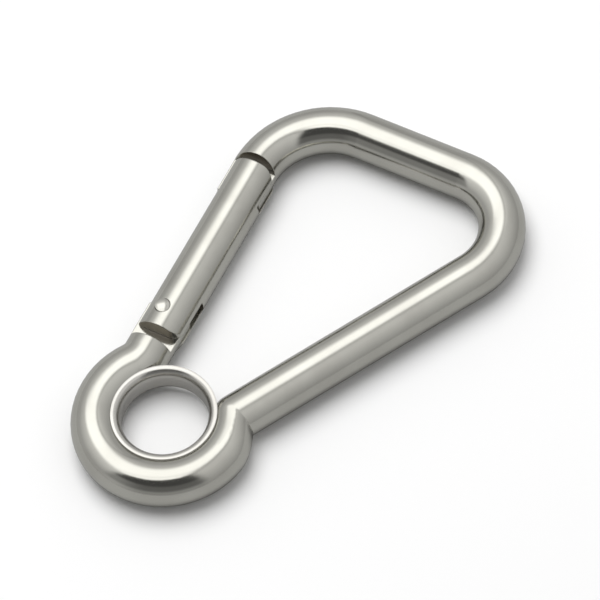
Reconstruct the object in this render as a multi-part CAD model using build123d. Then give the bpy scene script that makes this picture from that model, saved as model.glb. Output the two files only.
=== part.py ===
"""Asymmetric carbine hook with a ringed eye and a sprung gate, in millimetres.

Origin: centre of the eyelet's bore, in the middle of the bar's thickness.
+Y runs along the straight leg, away from the eye. +Z is the eyelet's axis.
Places on the gate are given along the gate line, from the foot of the eye's centre on it,
and to the side, positive away from the loop's opening.
"""

import os
from math import acos, cos, degrees, pi, radians, sin, sqrt, tan

from build123d import *

# Bent bar
BAR_R = 5.4             # 10.8 mm round bar
EYE_R = 15.95           # eye loop, to the bar's centreline
LEG_X = 8.6             # straight leg's centreline, to the side of the eye's centre
LEAN_DEG = 30.0         # the gate leans this far from the leg, and the back rises as far
GATE_OFFSET = 11.8      # gate line's distance from the eye's centre
BACK_OFFSET = 85.3      # back's centreline, distance from the eye's centre
CORNER_R = 15.3         # bend between leg and back
NOSE_R = 18.7           # bend between back and gate line
TANG_BEND_R = 6.0       # bend between eye loop and tang

# Towards the knee the eye loop's outer half is pressed in, which leaves a crease under the leg
PRESS_FROM_DEG = 20.0
PRESS_DEPTH = 1.6

# The gate is a little thicker than the bar, and stands a little inwards of its line
GATE_R = 5.5
GATE_SIDE = -0.45

# Along the gate line
TANG_SHOULDER = 15.3    # where the tang's flats begin
GATE_START = 18.5
PIVOT_AT = 23.6
STEP_TOP = 24.1         # inner shoulder of the tang, where the plunger bears
HEEL_TOP = 24.85        # outer shoulder of the tang, the gate's stop
POCKET_END = 29.6       # inner end of the hinge slot
SPRING_BORE_END = 53.0
NOSE_SLOT_FLOOR = 57.0
TONGUE_TIP = 58.1
GATE_END = 66.1
NOSE_SHOULDER = 66.7    # where the tongue's flats begin
NOSE_SHOULDER_LEAN = 1.7    # the shoulder runs back this far from the flats to the bar's surface

# To the side of the gate line
PIVOT_SIDE = 0.9
POCKET_SIDE = -0.2      # the deep part of the hinge slot lies inwards of this
PLUNGER_SIDE = -2.8

# Hinge and latch
TANG_HALF = 1.4         # half thickness of the tang
HINGE_SLOT_HALF = 1.5   # half height of the slot it turns in
TONGUE_HALF = 1.25      # half thickness of the latch tongue
NOSE_SLOT_HALF = 1.9    # half height of the slot that closes over it
LUG_R = 2.6             # round of the tang about the pivot
LUG_GAP = 0.2
HEEL_GAP = 0.05
POCKET_CORNER_R = 1.5
GATE_OUTER_CORNER_R = 0.8
GATE_INNER_CORNER_R = 3.0

# Rivet: a domed head above, and an end peened flush below
RIVET_R = 1.2
RIVET_GAP = 0.01
TANG_HOLE_GAP = 0.05
HEAD_R = 1.7
HEAD_SEAT_R = 1.8
HEAD_SEAT_Z = 4.4
HEAD_RIM_Z = 5.35
HEAD_TOP_Z = 5.7
PEENED_RIM_Z = 5.0
PEENED_TOP_Z = 5.3

# Plunger and return spring
PLUNGER_R = 1.1
PLUNGER_LENGTH = 10.0
PLUNGER_CHAMFER = 0.25
PLUNGER_GAP = 0.17
SPRING_GAP = 0.05
SPRING_BORE_R = 1.22
SPRING_R = 0.85
SPRING_WIRE_R = 0.22
SPRING_TURNS = 13

# Eyelet ring
BORE_R = 9.9
BORE_HALF = 1.6         # half length of the straight part of the bore
FLARE_TOP_R = 10.75     # the bore flares to here, then the broad lip begins
FLARE_TOP_Z = 3.55
LIP_MIDDLE_R = 11.4
LIP_MIDDLE_Z = 3.82
LIP_EDGE_Z = 3.8
GROOVE_GAP = 0.05

CUT = 1.0               # how far a cutting shape runs past the metal

GATE_DIR = Vector(-sin(radians(LEAN_DEG)), cos(radians(LEAN_DEG)), 0)
GATE_OUT = Vector(-cos(radians(LEAN_DEG)), -sin(radians(LEAN_DEG)), 0)
GATE_FOOT = GATE_OUT * GATE_OFFSET
GATE_PLANE = Plane(origin=GATE_FOOT, x_dir=GATE_DIR, z_dir=(0, 0, 1))
BACK_DIR = -GATE_OUT
LEG_DIR = Vector(0, 1, 0)

FROM_START = (Align.MIN, Align.CENTER, Align.CENTER)
FROM_BASE = (Align.CENTER, Align.CENTER, Align.MIN)


def on_gate_line(along, side=0.0):
    """Point at a distance along the gate line and to its outer side."""
    return GATE_FOOT + GATE_DIR * along + GATE_OUT * side


def eye_point(angle_deg):
    """Point on the eye loop's centreline."""
    angle = radians(angle_deg)
    return Vector(EYE_R * cos(angle), EYE_R * sin(angle), 0)


def bend(vertex, heading_in, heading_out, radius):
    """Start, middle and end of the arc that rounds a corner of the centreline."""
    half_turn = radians(heading_in.get_angle(heading_out)) / 2
    run = radius * tan(half_turn)
    start = vertex - heading_in * run
    end = vertex + heading_out * run
    inward = (heading_out - heading_in).normalized()
    middle = vertex + inward * (radius / cos(half_turn) - radius)
    return start, middle, end


def tang_bend():
    """Start, middle and end of the bend between eye loop and gate line."""
    offset = GATE_OFFSET + TANG_BEND_R
    along = sqrt((EYE_R + TANG_BEND_R) ** 2 - offset ** 2)
    centre = on_gate_line(along, TANG_BEND_R)
    start = centre * (EYE_R / (EYE_R + TANG_BEND_R))
    end = on_gate_line(along)
    towards_corner = (start - centre + end - centre).normalized()
    middle = centre + towards_corner * TANG_BEND_R
    return start, middle, end


def knee_angle():
    """Direction of the knee from the eye's centre, in degrees."""
    return degrees(acos(LEG_X / EYE_R))


def bar_along(edges):
    """Round bar swept along joined centreline edges."""
    section = Plane(origin=edges[0] @ 0, z_dir=edges[0] % 0) * Circle(BAR_R)
    return sweep(section, path=Wire(edges))


def upper_bar():
    """Latch tongue, nose bend, back, corner and leg, down to the knee."""
    nose = on_gate_line(BACK_OFFSET)
    lean = radians(LEAN_DEG)
    corner = Vector(LEG_X, BACK_OFFSET / cos(lean) + LEG_X * tan(lean), 0)
    nose_bend = bend(nose, GATE_DIR, BACK_DIR, NOSE_R)
    corner_bend = bend(corner, BACK_DIR, -LEG_DIR, CORNER_R)
    return bar_along([
        Edge.make_line(on_gate_line(TONGUE_TIP), nose_bend[0]),
        Edge.make_three_point_arc(*nose_bend),
        Edge.make_line(nose_bend[2], corner_bend[0]),
        Edge.make_three_point_arc(*corner_bend),
        Edge.make_line(corner_bend[2], eye_point(knee_angle())),
    ])


def lower_bar():
    """Eye loop round to the tang, from where its outer half begins to be pressed in."""
    eye_end, tang_middle, tang_start = tang_bend()
    return bar_along([
        Edge.make_three_point_arc(eye_point(PRESS_FROM_DEG), Vector(0, -EYE_R, 0), eye_end),
        Edge.make_three_point_arc(eye_end, tang_middle, tang_start),
        Edge.make_line(tang_start, on_gate_line(PIVOT_AT + LUG_R)),
    ])


def half_section(angle_deg, width):
    """Upright half ellipse across the eye loop; a negative width lies on the inner side."""
    start = eye_point(angle_deg)
    outwards = start.normalized()
    plane = Plane(origin=start, x_dir=outwards, z_dir=outwards.cross(Vector(0, 0, 1)))
    side = Align.MIN if width > 0 else Align.MAX
    half = Rectangle(abs(width), 2 * BAR_R, align=(side, Align.CENTER))
    return plane * (Ellipse(abs(width), BAR_R) & half)


def pressed_end():
    """End of the eye loop: its inner half stays round, its outer half narrows to the knee."""
    span = knee_angle() - PRESS_FROM_DEG
    inner = revolve(half_section(PRESS_FROM_DEG, -BAR_R), Axis.Z, span)
    sections = []
    for share in (0, 1 / 3, 2 / 3, 1):
        width = BAR_R - PRESS_DEPTH * sin(share * pi / 2) ** 2
        sections.append(half_section(PRESS_FROM_DEG + share * span, width))
    return inner + loft(sections)


def knee_ball():
    """Round outside of the knee, between the ends of the leg and of the eye loop."""
    knee = eye_point(knee_angle())
    ahead = Vector(0, 0, 1).cross(knee).normalized()
    wide = 4 * BAR_R
    below_leg = Pos(knee) * Box(wide, wide, wide, align=(Align.CENTER, Align.MAX, Align.CENTER))
    past_loop = Plane(origin=knee, x_dir=ahead, z_dir=(0, 0, 1)) * Box(wide, wide, wide, align=FROM_START)
    return (Pos(knee) * Sphere(BAR_R)) & below_leg & past_loop


def milled_flats(start, end, half, lean=0.0):
    """Material milled off both faces of a bar end; the shoulder at its end may lean back."""
    reach = BAR_R + CUT
    outline = Polygon((start, half), (end, half), (end + lean, reach), (start, reach), align=None)
    upper = extrude(Plane.XZ * outline, amount=reach, both=True)
    return GATE_PLANE * (upper + mirror(upper, about=Plane.XY))


def tang_end_waste():
    """What is milled away past the tang's two shoulders, leaving the lug round the pivot."""
    reach = PIVOT_AT + LUG_R + CUT - STEP_TOP
    wide = BAR_R + CUT
    from_corner = (Align.MIN, Align.MIN)
    inner = Pos(STEP_TOP, -wide, 0) * Rectangle(reach, wide + PIVOT_SIDE, align=from_corner)
    outer = Pos(HEEL_TOP, PIVOT_SIDE, 0) * Rectangle(reach, wide, align=from_corner)
    lug = Pos(PIVOT_AT, PIVOT_SIDE, 0) * Circle(LUG_R)
    return GATE_PLANE * extrude(inner + outer - lug, amount=BAR_R, both=True)


def whole_bar():
    """Both lengths of bar, joined in a tight knee: round outside, creased inside."""
    return upper_bar() + lower_bar() + pressed_end() + knee_ball()


def hook_body():
    bar = whole_bar()
    bar -= milled_flats(TANG_SHOULDER, PIVOT_AT + LUG_R + CUT, TANG_HALF)
    bar -= milled_flats(TONGUE_TIP - CUT, NOSE_SHOULDER, TONGUE_HALF, NOSE_SHOULDER_LEAN)
    bar -= tang_end_waste()
    hole = Cylinder(RIVET_R + TANG_HOLE_GAP, 2 * BAR_R)
    return bar - GATE_PLANE * Pos(PIVOT_AT, PIVOT_SIDE, 0) * hole


def gate_blank():
    """Round bar with its ends rounded in plan, more on the inner side than on the outer."""
    length = GATE_END - GATE_START
    plan = Pos(GATE_START, GATE_SIDE, 0) * Rectangle(length, 2 * GATE_R, align=(Align.MIN, Align.CENTER))
    plan = fillet(plan.vertices().sort_by(Axis.Y)[:2], GATE_INNER_CORNER_R)
    plan = fillet(plan.vertices().sort_by(Axis.Y)[-2:], GATE_OUTER_CORNER_R)
    bar = Pos((GATE_START + GATE_END) / 2, GATE_SIDE, 0) * Rot(0, 90, 0) * Cylinder(GATE_R, length)
    return bar & extrude(plan, amount=GATE_R, both=True)


def hinge_slot():
    """Slot for the tang: shallow on the outer side, deep on the inner side, round at the lug."""
    wide = GATE_R + CUT
    start = GATE_START - CUT
    shallow_depth = HEEL_TOP + HEEL_GAP - start
    pocket_depth = POCKET_END - start
    shallow = Rectangle(shallow_depth, 2 * wide, align=(Align.MIN, Align.CENTER))
    pocket = Rectangle(pocket_depth, wide + POCKET_SIDE, align=(Align.MIN, Align.MIN))
    inner_corner = pocket.vertices().sort_by(Axis.X)[-2:].sort_by(Axis.Y)[-1]
    pocket = fillet(inner_corner, POCKET_CORNER_R)
    lug_room = Pos(PIVOT_AT, PIVOT_SIDE, 0) * Circle(LUG_R + LUG_GAP)
    plan = Pos(start, 0, 0) * shallow + Pos(start, -wide, 0) * pocket + lug_room
    return extrude(plan, amount=HINGE_SLOT_HALF, both=True)


def nose_slot():
    """Slot across the gate's free end that closes over the latch tongue."""
    depth = GATE_END + CUT - NOSE_SLOT_FLOOR
    width = 2 * (GATE_R + CUT)
    return Pos(NOSE_SLOT_FLOOR, 0, 0) * Box(depth, width, 2 * NOSE_SLOT_HALF, align=FROM_START)


def spring_bore():
    """Blind bore from the hinge slot up the inner side of the gate."""
    length = SPRING_BORE_END - POCKET_END + CUT
    bore = Rot(0, 90, 0) * Cylinder(SPRING_BORE_R, length, align=FROM_BASE)
    return Pos(POCKET_END - CUT, PLUNGER_SIDE, 0) * bore


def rivet_room():
    """Cross hole for the rivet, with a counterbore for the head at each end."""
    room = Cylinder(RIVET_R + RIVET_GAP, 2 * GATE_R)
    seat = Pos(0, 0, HEAD_SEAT_Z) * Cylinder(HEAD_SEAT_R, GATE_R, align=FROM_BASE)
    room += seat + Rot(180, 0, 0) * seat
    return Pos(PIVOT_AT, PIVOT_SIDE, 0) * room


def gate():
    body = gate_blank() - hinge_slot() - nose_slot() - spring_bore() - rivet_room()
    return GATE_PLANE * body


def rivet_head(rim_z, top_z):
    """Domed head, from its seat in the gate up."""
    seat = HEAD_SEAT_Z + RIVET_GAP
    rise = top_z - rim_z
    dome_r = (HEAD_R ** 2 + rise ** 2) / (2 * rise)
    middle_r = HEAD_R / 2
    dome_middle = (middle_r, top_z - dome_r + sqrt(dome_r ** 2 - middle_r ** 2))
    with BuildLine(Plane.XZ) as outline:
        Polyline((0, top_z), (0, seat), (HEAD_R, seat), (HEAD_R, rim_z))
        ThreePointArc((HEAD_R, rim_z), dome_middle, (0, top_z))
    return revolve(make_face(outline.line), Axis.Z)


def hinge_rivet():
    shank = Cylinder(RIVET_R, 2 * (HEAD_SEAT_Z + 2 * RIVET_GAP))
    upper = rivet_head(HEAD_RIM_Z, HEAD_TOP_Z)
    lower = Rot(180, 0, 0) * rivet_head(PEENED_RIM_Z, PEENED_TOP_Z)
    return GATE_PLANE * Pos(PIVOT_AT, PIVOT_SIDE, 0) * (shank + upper + lower)


def spring_plunger():
    """Pin with chamfered ends that bears on the tang's inner shoulder."""
    pin = Cylinder(PLUNGER_R, PLUNGER_LENGTH, align=FROM_BASE)
    pin = chamfer(pin.edges().filter_by(GeomType.CIRCLE), PLUNGER_CHAMFER)
    return GATE_PLANE * Pos(STEP_TOP + PLUNGER_GAP, PLUNGER_SIDE, 0) * Rot(0, 90, 0) * pin


def return_spring():
    """Open coil between the plunger and the end of its bore."""
    start = STEP_TOP + PLUNGER_GAP + PLUNGER_LENGTH + SPRING_GAP + SPRING_WIRE_R
    length = SPRING_BORE_END - SPRING_GAP - SPRING_WIRE_R - start
    coil = Edge.make_helix(pitch=length / SPRING_TURNS, height=length, radius=SPRING_R)
    section = Plane(origin=coil @ 0, z_dir=coil % 0) * Circle(SPRING_WIRE_R)
    wire = sweep(section, path=Wire([coil]), is_frenet=True)
    return GATE_PLANE * Pos(start, PLUNGER_SIDE, 0) * Rot(0, 90, 0) * wire


def eyelet_thimble():
    """Ring whose outer groove sits on the bar, with a broad lip at top and bottom."""
    groove_r = BAR_R + GROOVE_GAP
    groove_edge = (EYE_R - sqrt(groove_r ** 2 - LIP_EDGE_Z ** 2), LIP_EDGE_Z)
    bore_edge = (BORE_R, BORE_HALF)
    flare_top = (FLARE_TOP_R, FLARE_TOP_Z)
    with BuildLine(Plane.XZ) as outline:
        Line((BORE_R, 0), bore_edge)
        TangentArc(bore_edge, flare_top, tangent=(0, 1))
        ThreePointArc(flare_top, (LIP_MIDDLE_R, LIP_MIDDLE_Z), groove_edge)
        RadiusArc(groove_edge, (EYE_R - groove_r, 0), -groove_r)
        Line((EYE_R - groove_r, 0), (BORE_R, 0))
    upper = revolve(make_face(outline.line), Axis.Z)
    return upper + mirror(upper, about=Plane.XY)


PARTS = {
    "hook_body": hook_body,
    "eyelet_thimble": eyelet_thimble,
    "gate": gate,
    "hinge_rivet": hinge_rivet,
    "spring_plunger": spring_plunger,
    "return_spring": return_spring,
}

os.makedirs("parts", exist_ok=True)
for name, build in PARTS.items():
    export_step(build(), f"parts/{name}.step")
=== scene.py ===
"""Looks of the carbine hook: polished stainless steel on a pale floor in soft studio light."""

import math

import bpy
from mathutils import Matrix, Vector

MM = 0.001

# Camera, in the row frame
CAMERA_POSITION = Vector((0.5405, -0.2240, 1.0425))
CAMERA_TARGET = Vector((-0.00870, 0.04160, 0.0))
CAMERA_ROLL_DEG = -8.111
CAMERA_LENS_MM = 320.0
SENSOR_MM = 36.0

# The studio's own directions in plan: away from the camera, and to its right
AWAY = Vector((-0.9002, 0.4355, 0.0))
RIGHT = Vector((AWAY.y, -AWAY.x, 0.0))

# Floor
FLOOR_Z = -0.0055          # the gate's underside lies on it
FLOOR_SIZE = 6.0
FLOOR_WHITE = 0.91         # as the camera and the room see it
FLOOR_IN_METAL = 0.45      # as the metal mirrors it: painted shade, greyer than the floor the camera sees

# Overhead softbox that lights the floor
SOFTBOX_HEIGHT = 1.2
SOFTBOX_AWAY = 0.44
SOFTBOX_RIGHT = -0.14
SOFTBOX_DEPTH = 1.35
SOFTBOX_WIDTH = 0.95
SOFTBOX_RADIANCE = 4.0

# What the metal mirrors is placed by angle, in degrees. Along "right" and "away" and "down" it is the angle
# from straight up; a heading is measured round the compass from straight away, positive to the right.
# A pair is where something starts and ends its fade.

# The softbox as the metal mirrors it
KEY_LIGHT = 1.68
KEY_FRONT = (-16.0, -12.5)
KEY_BACK = (30.0, 48.0)
KEY_LEFT = (-38.0, -25.0)
KEY_RIGHT = (9.5, 17.0)
KEY_SLANT = 0.33           # its right edge leans this much to the left, per degree nearer than KEY_MIDDLE
KEY_MIDDLE = 14.0          # farther away than this the right edge runs straight
KEY_CORNER = (-25.0, -18.0)    # its front left corner is cut off
KEY_CORNER_SLANT = 0.56

# A duller band in it, just behind its front edge
KEY_DIP = 0.20
KEY_DIP_AT = -1.0
KEY_DIP_FADE = (1.0, 6.0)

# A darker gap beside its right edge
GAP_AT = 20.0
GAP_HALF = 3.5
GAP_KEEPS = 0.72           # share of the room's light left in it

# Room round the metal: brightness high up and at the horizon
ROOM_HIGH = 0.90
ROOM_HORIZON = 0.46
ROOM_FALL = (36.0, 74.0)

# Its right wall, evener from top to bottom
RIGHT_WALL_HIGH = 0.76
RIGHT_WALL_HORIZON = 0.42
RIGHT_WALL_FALL = (30.0, 84.0)
RIGHT_WALL_HEADING = 98.0
RIGHT_WALL_EDGE = (42.0, 62.0)     # off that heading

# The dark side behind the camera, its middle a little to the left
DARK_HEADING_LEFT = 160.0
DARK_EDGE = (45.0, 57.0)           # off that heading
DARK_HIGH = 0.075
DARK_MIDDLE = 0.16
DARK_LOW = 0.34
DARK_UPPER_STEP = (43.0, 53.0)
DARK_LOWER_STEP = (68.0, 80.0)

# A paler patch on the dark side's left
PATCH_LIFT = 0.14
PATCH_TOP = (42.0, 54.0)
PATCH_FROM = (-150.0, -115.0)
PATCH_TO = (-100.0, -90.0)

# Room as the floor is lit by it, and the backdrop that the camera sees
FLOOR_SKY_HORIZON = 0.45
FLOOR_SKY_OVERHEAD = 0.75
FLOOR_SKY_DARK = 0.13
FLOOR_SKY_DARK_SHARE = 0.9
BACKGROUND_LIGHT = 1.0

# Steel's patterns, in repeats per metre
CLOUD_SCALE = 90.0
WAVE_SCALE = 260.0
GRAIN_SCALE = 1400.0
PIT_SCALE = 130.0
PIT_RADIUS = 0.035         # in pit spacings
STAIN_SHOWS = (0.35, 0.7)  # how dense a cloud has to be
CLOUD_ROUGH = 0.06
GRAIN_ROUGH = 0.04
WAVE_HEIGHT = 0.35
GRAIN_HEIGHT = 0.12
PIT_DEPTH = 0.5
EDGE_SAMPLES = 6

# Painted shade where metal faces metal closely: the reach of the search, and how open a place is with and
# without it
CREVICE_REACH = 2.2 * MM
CREVICE_FULL_SHADE = 0.0
CREVICE_NO_SHADE = 0.68
CREVICE_SAMPLES = 8
CREVICE_SHADE = (0.15, 0.125, 0.095, 1)

# Sawn ends of the gate: rougher than its polished round, and painted darker and browner as painted shade
GATE_LEAN = math.radians(30.0)
GATE_LINE = Vector((-math.sin(GATE_LEAN), math.cos(GATE_LEAN), 0.0))
SAWN_END_SHADE = (0.28, 0.25, 0.205, 1)
SAWN_ROUGHNESS = 0.45
SHADED_END_FACING = (0.90, 0.99)     # how squarely a face looks along the gate

# Finish of each CAD node
WARM = (0.625, 0.618, 0.565, 1)
HIDDEN = (0.50, 0.50, 0.48, 1)
HIDDEN_STAIN = (0.42, 0.42, 0.40, 1)
FINISHES = {
    "hook_body": {
        "name": "bar_steel",
        "colour": WARM,
        "stain": (0.58, 0.57, 0.52, 1),
        "roughness": 0.11,
        "grain": 0.015 * MM,
        "edge_round": 0.30 * MM,
    },
    "eyelet_thimble": {
        "name": "ring_steel",
        "colour": (0.68, 0.665, 0.625, 1),
        "stain": (0.62, 0.605, 0.565, 1),
        "roughness": 0.22,
        "grain": 0.006 * MM,
    },
    "gate": {
        "name": "gate_steel",
        "colour": WARM,
        "stain": (0.57, 0.56, 0.51, 1),
        "roughness": 0.11,
        "grain": 0.015 * MM,
        "edge_round": 0.35 * MM,
        "shaded_ends_along": GATE_LINE,
    },
    "hinge_rivet": {
        "name": "rivet_steel",
        "colour": (0.64, 0.63, 0.58, 1),
        "stain": (0.55, 0.54, 0.49, 1),
        "roughness": 0.13,
        "grain": 0.006 * MM,
    },
    "spring_plunger": {
        "name": "pin_steel",
        "colour": HIDDEN,
        "stain": HIDDEN_STAIN,
        "roughness": 0.25,
        "grain": 0.010 * MM,
    },
    "return_spring": {
        "name": "spring_steel",
        "colour": HIDDEN,
        "stain": HIDDEN_STAIN,
        "roughness": 0.30,
        "grain": 0.006 * MM,
    },
}


class Nodes:
    """Short calls for building a node tree."""

    def __init__(self, tree):
        self.tree = tree
        tree.nodes.clear()

    def feed(self, socket, value):
        """Links an output to the socket, or sets a constant on it."""
        if isinstance(value, bpy.types.NodeSocket):
            self.tree.links.new(value, socket)
        else:
            socket.default_value = value

    def add(self, kind, **inputs):
        """New node; an input's name has _ for each space."""
        node = self.tree.nodes.new(kind)
        for name, value in inputs.items():
            self.feed(node.inputs[name.replace("_", " ")], value)
        return node

    def math(self, operation, *values):
        node = self.tree.nodes.new("ShaderNodeMath")
        node.operation = operation
        for socket, value in zip(node.inputs, values):
            self.feed(socket, value)
        return node.outputs[0]

    def dot(self, vector, axis):
        node = self.tree.nodes.new("ShaderNodeVectorMath")
        node.operation = "DOT_PRODUCT"
        self.feed(node.inputs[0], vector)
        self.feed(node.inputs[1], axis)
        return node.outputs["Value"]

    def ramp(self, value, span, out=(0.0, 1.0), smooth=True):
        """Goes from the first of out to the second as the value crosses the span."""
        node = self.add(
            "ShaderNodeMapRange",
            Value=value,
            From_Min=span[0],
            From_Max=span[1],
            To_Min=out[0],
            To_Max=out[1],
        )
        node.interpolation_type = "SMOOTHSTEP" if smooth else "LINEAR"
        return node.outputs[0]

    def between(self, share, a, b):
        """Value part of the way from a to b."""
        return self.math("MULTIPLY_ADD", self.math("SUBTRACT", b, a), share, a)

    def distance(self, a, b):
        return self.math("ABSOLUTE", self.math("SUBTRACT", a, b))

    def noise(self, vector, scale, detail, roughness=0.5):
        node = self.add("ShaderNodeTexNoise", Vector=vector, Scale=scale, Detail=detail, Roughness=roughness)
        return node.outputs["Fac"]

    def mix(self, factor, a, b):
        node = self.tree.nodes.new("ShaderNodeMix")
        node.data_type = "RGBA"
        self.feed(node.inputs["Factor"], factor)
        colours = [socket for socket in node.inputs if socket.type == "RGBA"]
        for socket, value in zip(colours, (a, b)):
            self.feed(socket, value)
        return [socket for socket in node.outputs if socket.type == "RGBA"][0]


def steel(name, colour, stain, roughness, grain, edge_round=None, shaded_ends_along=None):
    """Stainless steel: soft clouds, fine grain, a few pits, painted shade in crevices and, on the gate,
    rougher sawn ends painted dark as painted shade.
    """
    material = bpy.data.materials.new(name)
    material.use_nodes = True
    n = Nodes(material.node_tree)
    place = n.add("ShaderNodeTexCoord")
    cloud = n.noise(place.outputs["Object"], CLOUD_SCALE, detail=3.0)
    fine = n.noise(place.outputs["Object"], GRAIN_SCALE, detail=4.0, roughness=0.6)
    wave = n.noise(place.outputs["Object"], WAVE_SCALE, detail=1.0)
    pit = n.add("ShaderNodeTexVoronoi", Vector=place.outputs["Object"], Scale=PIT_SCALE)
    crevice = n.add("ShaderNodeAmbientOcclusion", Distance=CREVICE_REACH)
    crevice.samples = CREVICE_SAMPLES
    # Painted shade: where the occlusion search finds metal close by, the steel turns dark brown and less
    # metallic
    unshaded = n.ramp(crevice.outputs["AO"], (CREVICE_FULL_SHADE, CREVICE_NO_SHADE))

    tint = n.mix(n.ramp(cloud, STAIN_SHOWS), colour, stain)
    tint = n.mix(unshaded, CREVICE_SHADE, tint)
    rough = n.math("MULTIPLY_ADD", cloud, CLOUD_ROUGH, roughness - CLOUD_ROUGH / 2)
    rough = n.math("MULTIPLY_ADD", fine, GRAIN_ROUGH, rough)
    if shaded_ends_along:
        facing = n.math("ABSOLUTE", n.dot(place.outputs["Normal"], shaded_ends_along))
        end_dull_and_shade = n.ramp(facing, SHADED_END_FACING)
        # Painted shade: the gate's end faces are painted dark brown; they are also rougher
        tint = n.mix(end_dull_and_shade, tint, SAWN_END_SHADE)
        rough = n.between(end_dull_and_shade, rough, SAWN_ROUGHNESS)

    height = n.math("MULTIPLY_ADD", wave, WAVE_HEIGHT, n.math("MULTIPLY", fine, GRAIN_HEIGHT))
    pit_floor = n.ramp(pit.outputs["Distance"], (0.0, PIT_RADIUS), (-1.0, 0.0))
    height = n.math("MULTIPLY_ADD", pit_floor, PIT_DEPTH, height)
    bump = n.add("ShaderNodeBump", Strength=1.0, Distance=grain, Height=height)
    if edge_round:
        edge = n.add("ShaderNodeBevel", Radius=edge_round)
        edge.samples = EDGE_SAMPLES
        n.feed(bump.inputs["Normal"], edge.outputs["Normal"])

    shader = n.add(
        "ShaderNodeBsdfPrincipled",
        Metallic=unshaded,
        Base_Color=tint,
        Roughness=rough,
        Normal=bump.outputs["Normal"],
    )
    n.add("ShaderNodeOutputMaterial", Surface=shader.outputs[0])
    return material


def paint_all():
    """Gives each CAD node its own steel."""
    for node_name, finish in FINISHES.items():
        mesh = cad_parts[node_name].data
        mesh.materials.clear()
        mesh.materials.append(steel(**finish))


def floor():
    """Pale floor, painted greyer where the metal mirrors it, as painted shade."""
    half = FLOOR_SIZE / 2
    mesh = bpy.data.meshes.new("floor")
    corners = [(-half, -half, 0), (half, -half, 0), (half, half, 0), (-half, half, 0)]
    mesh.from_pydata(corners, [], [(0, 1, 2, 3)])
    plane = bpy.data.objects.new("floor", mesh)
    plane.location.z = FLOOR_Z
    bpy.context.collection.objects.link(plane)

    material = bpy.data.materials.new("floor_paper")
    material.use_nodes = True
    n = Nodes(material.node_tree)
    mirrored = n.add("ShaderNodeLightPath").outputs["Is Glossy Ray"]
    # Painted shade: the floor is greyer only in the metal's reflection of it
    shade = n.ramp(mirrored, (0.0, 1.0), (FLOOR_WHITE, FLOOR_IN_METAL), smooth=False)
    shader = n.add("ShaderNodeBsdfDiffuse", Color=shade)
    n.add("ShaderNodeOutputMaterial", Surface=shader.outputs[0])
    mesh.materials.append(material)


def softbox():
    """Large overhead panel, a little away from the camera, that the metal doesn't mirror."""
    data = bpy.data.lights.new("softbox", "AREA")
    data.shape = "ELLIPSE"
    data.size = SOFTBOX_WIDTH
    data.size_y = SOFTBOX_DEPTH
    area = math.pi / 4 * SOFTBOX_WIDTH * SOFTBOX_DEPTH
    data.energy = SOFTBOX_RADIANCE * math.pi * area
    lamp = bpy.data.objects.new("softbox", data)
    lamp.visible_glossy = False
    back = Vector((0, 0, 1))
    lamp.matrix_world = Matrix((RIGHT, back.cross(RIGHT), back)).transposed().to_4x4()
    lamp.matrix_world.translation = AWAY * SOFTBOX_AWAY + RIGHT * SOFTBOX_RIGHT + back * SOFTBOX_HEIGHT
    bpy.context.collection.objects.link(lamp)


def key_in_metal(n, right, away):
    """Mirrored softbox: its brightness, its cover of each direction, and the gap's shade beside it."""
    nearer = n.math("MINIMUM", n.math("SUBTRACT", away, KEY_MIDDLE), 0.0)
    slanted = n.math("SUBTRACT", right, n.math("MULTIPLY", nearer, KEY_SLANT))
    corner = n.math("MULTIPLY_ADD", right, KEY_CORNER_SLANT, away)
    cover = n.ramp(away, KEY_FRONT)
    for edge in (
        n.ramp(away, KEY_BACK, (1.0, 0.0)),
        n.ramp(right, KEY_LEFT),
        n.ramp(corner, KEY_CORNER),
        n.ramp(slanted, KEY_RIGHT, (1.0, 0.0)),
    ):
        cover = n.math("MULTIPLY", cover, edge)
    light = n.ramp(n.distance(away, KEY_DIP_AT), KEY_DIP_FADE, (KEY_LIGHT - KEY_DIP, KEY_LIGHT))
    gap = n.ramp(n.distance(slanted, GAP_AT), (0.0, GAP_HALF), (GAP_KEEPS, 1.0))
    return light, cover, gap


def room_in_metal(n, down, heading):
    """Pale room, evener on its right."""
    room = n.ramp(down, ROOM_FALL, (ROOM_HIGH, ROOM_HORIZON), smooth=False)
    wall = n.ramp(down, RIGHT_WALL_FALL, (RIGHT_WALL_HIGH, RIGHT_WALL_HORIZON), smooth=False)
    at_wall = n.ramp(n.distance(heading, RIGHT_WALL_HEADING), RIGHT_WALL_EDGE, (1.0, 0.0))
    return n.between(at_wall, room, wall)


def dark_side(n, down, heading):
    """The dark side's brightness, and how much of it covers each direction."""
    # Headings end at 180 either way, so the way round to its middle is found from the opposite heading
    from_opposite = n.distance(heading, 180.0 - DARK_HEADING_LEFT)
    cover = n.ramp(n.distance(from_opposite, 180.0), DARK_EDGE, (1.0, 0.0))
    upper = n.ramp(down, DARK_UPPER_STEP, (DARK_HIGH, DARK_MIDDLE))
    lower = n.ramp(down, DARK_LOWER_STEP, (0.0, DARK_LOW - DARK_MIDDLE))
    on_patch = n.math("MULTIPLY", n.ramp(heading, PATCH_FROM), n.ramp(heading, PATCH_TO, (1.0, 0.0)))
    lift = n.math("MULTIPLY", n.ramp(down, PATCH_TOP, (0.0, PATCH_LIFT)), on_patch)
    return n.math("ADD", n.math("ADD", upper, lower), lift), cover


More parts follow.
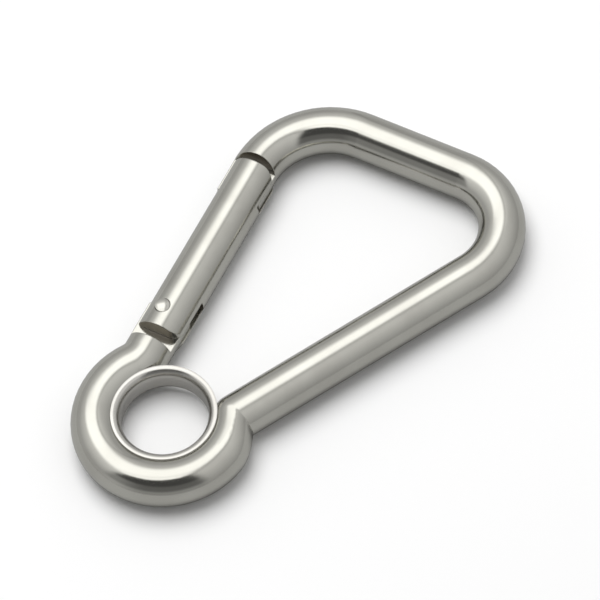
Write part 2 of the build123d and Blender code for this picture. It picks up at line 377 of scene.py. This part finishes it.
def surroundings():
    """Studio round the object: one pattern mirrored by the metal, a plainer one lights the floor."""
    world = bpy.data.worlds.new("studio")
    bpy.context.scene.world = world
    world.use_nodes = True
    n = Nodes(world.node_tree)
    direction = n.add("ShaderNodeTexCoord").outputs["Generated"]
    up = n.dot(direction, (0, 0, 1))
    away = n.dot(direction, AWAY)
    right = n.dot(direction, RIGHT)
    down = n.math("MULTIPLY", n.math("ARCCOSINE", up), math.degrees(1.0))
    heading = n.math("MULTIPLY", n.math("ARCTAN2", right, away), math.degrees(1.0))
    level = n.math("SQRT", n.math("SUBTRACT", 1.0, n.math("MULTIPLY", up, up)))
    spread = n.math("DIVIDE", down, level)
    right_angle = n.math("MULTIPLY", right, spread)
    away_angle = n.math("MULTIPLY", away, spread)

    key, key_cover, gap = key_in_metal(n, right_angle, away_angle)
    dark, dark_cover = dark_side(n, down, heading)
    room = n.math("MULTIPLY", room_in_metal(n, down, heading), gap)
    mirrored = n.between(dark_cover, room, dark)
    mirrored = n.between(key_cover, mirrored, key)

    sky = n.ramp(up, (0.0, 1.0), (FLOOR_SKY_HORIZON, FLOOR_SKY_OVERHEAD), smooth=False)
    sky = n.between(n.math("MULTIPLY", dark_cover, FLOOR_SKY_DARK_SHARE), sky, FLOOR_SKY_DARK)

    path = n.add("ShaderNodeLightPath")
    light = n.between(path.outputs["Is Glossy Ray"], sky, mirrored)
    light = n.between(path.outputs["Is Camera Ray"], light, BACKGROUND_LIGHT)
    around = n.add("ShaderNodeBackground", Color=(1, 1, 1, 1), Strength=light)
    n.add("ShaderNodeOutputWorld", Surface=around.outputs[0])


def camera():
    """Long lens from above and in front of the eye, rolled a little."""
    forward = (CAMERA_TARGET - CAMERA_POSITION).normalized()
    level = forward.cross(Vector((0, 0, 1))).normalized()
    upright = level.cross(forward)
    roll = math.radians(CAMERA_ROLL_DEG)
    side = level * math.cos(roll) + upright * math.sin(roll)
    top = upright * math.cos(roll) - level * math.sin(roll)
    data = bpy.data.cameras.new("camera")
    data.lens = CAMERA_LENS_MM
    data.sensor_width = SENSOR_MM
    eye = bpy.data.objects.new("camera", data)
    eye.matrix_world = Matrix((side, top, -forward)).transposed().to_4x4()
    eye.matrix_world.translation = CAMERA_POSITION
    bpy.context.collection.objects.link(eye)
    bpy.context.scene.camera = eye


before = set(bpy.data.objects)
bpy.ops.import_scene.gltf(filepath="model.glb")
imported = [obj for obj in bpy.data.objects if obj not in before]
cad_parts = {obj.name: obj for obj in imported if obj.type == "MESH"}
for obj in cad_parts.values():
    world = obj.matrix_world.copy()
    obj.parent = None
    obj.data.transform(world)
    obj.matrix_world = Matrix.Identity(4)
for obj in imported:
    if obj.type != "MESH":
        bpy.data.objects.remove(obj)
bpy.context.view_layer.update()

paint_all()
floor()
softbox()
surroundings()
camera()
bpy.context.scene.view_settings.view_transform = "Standard"
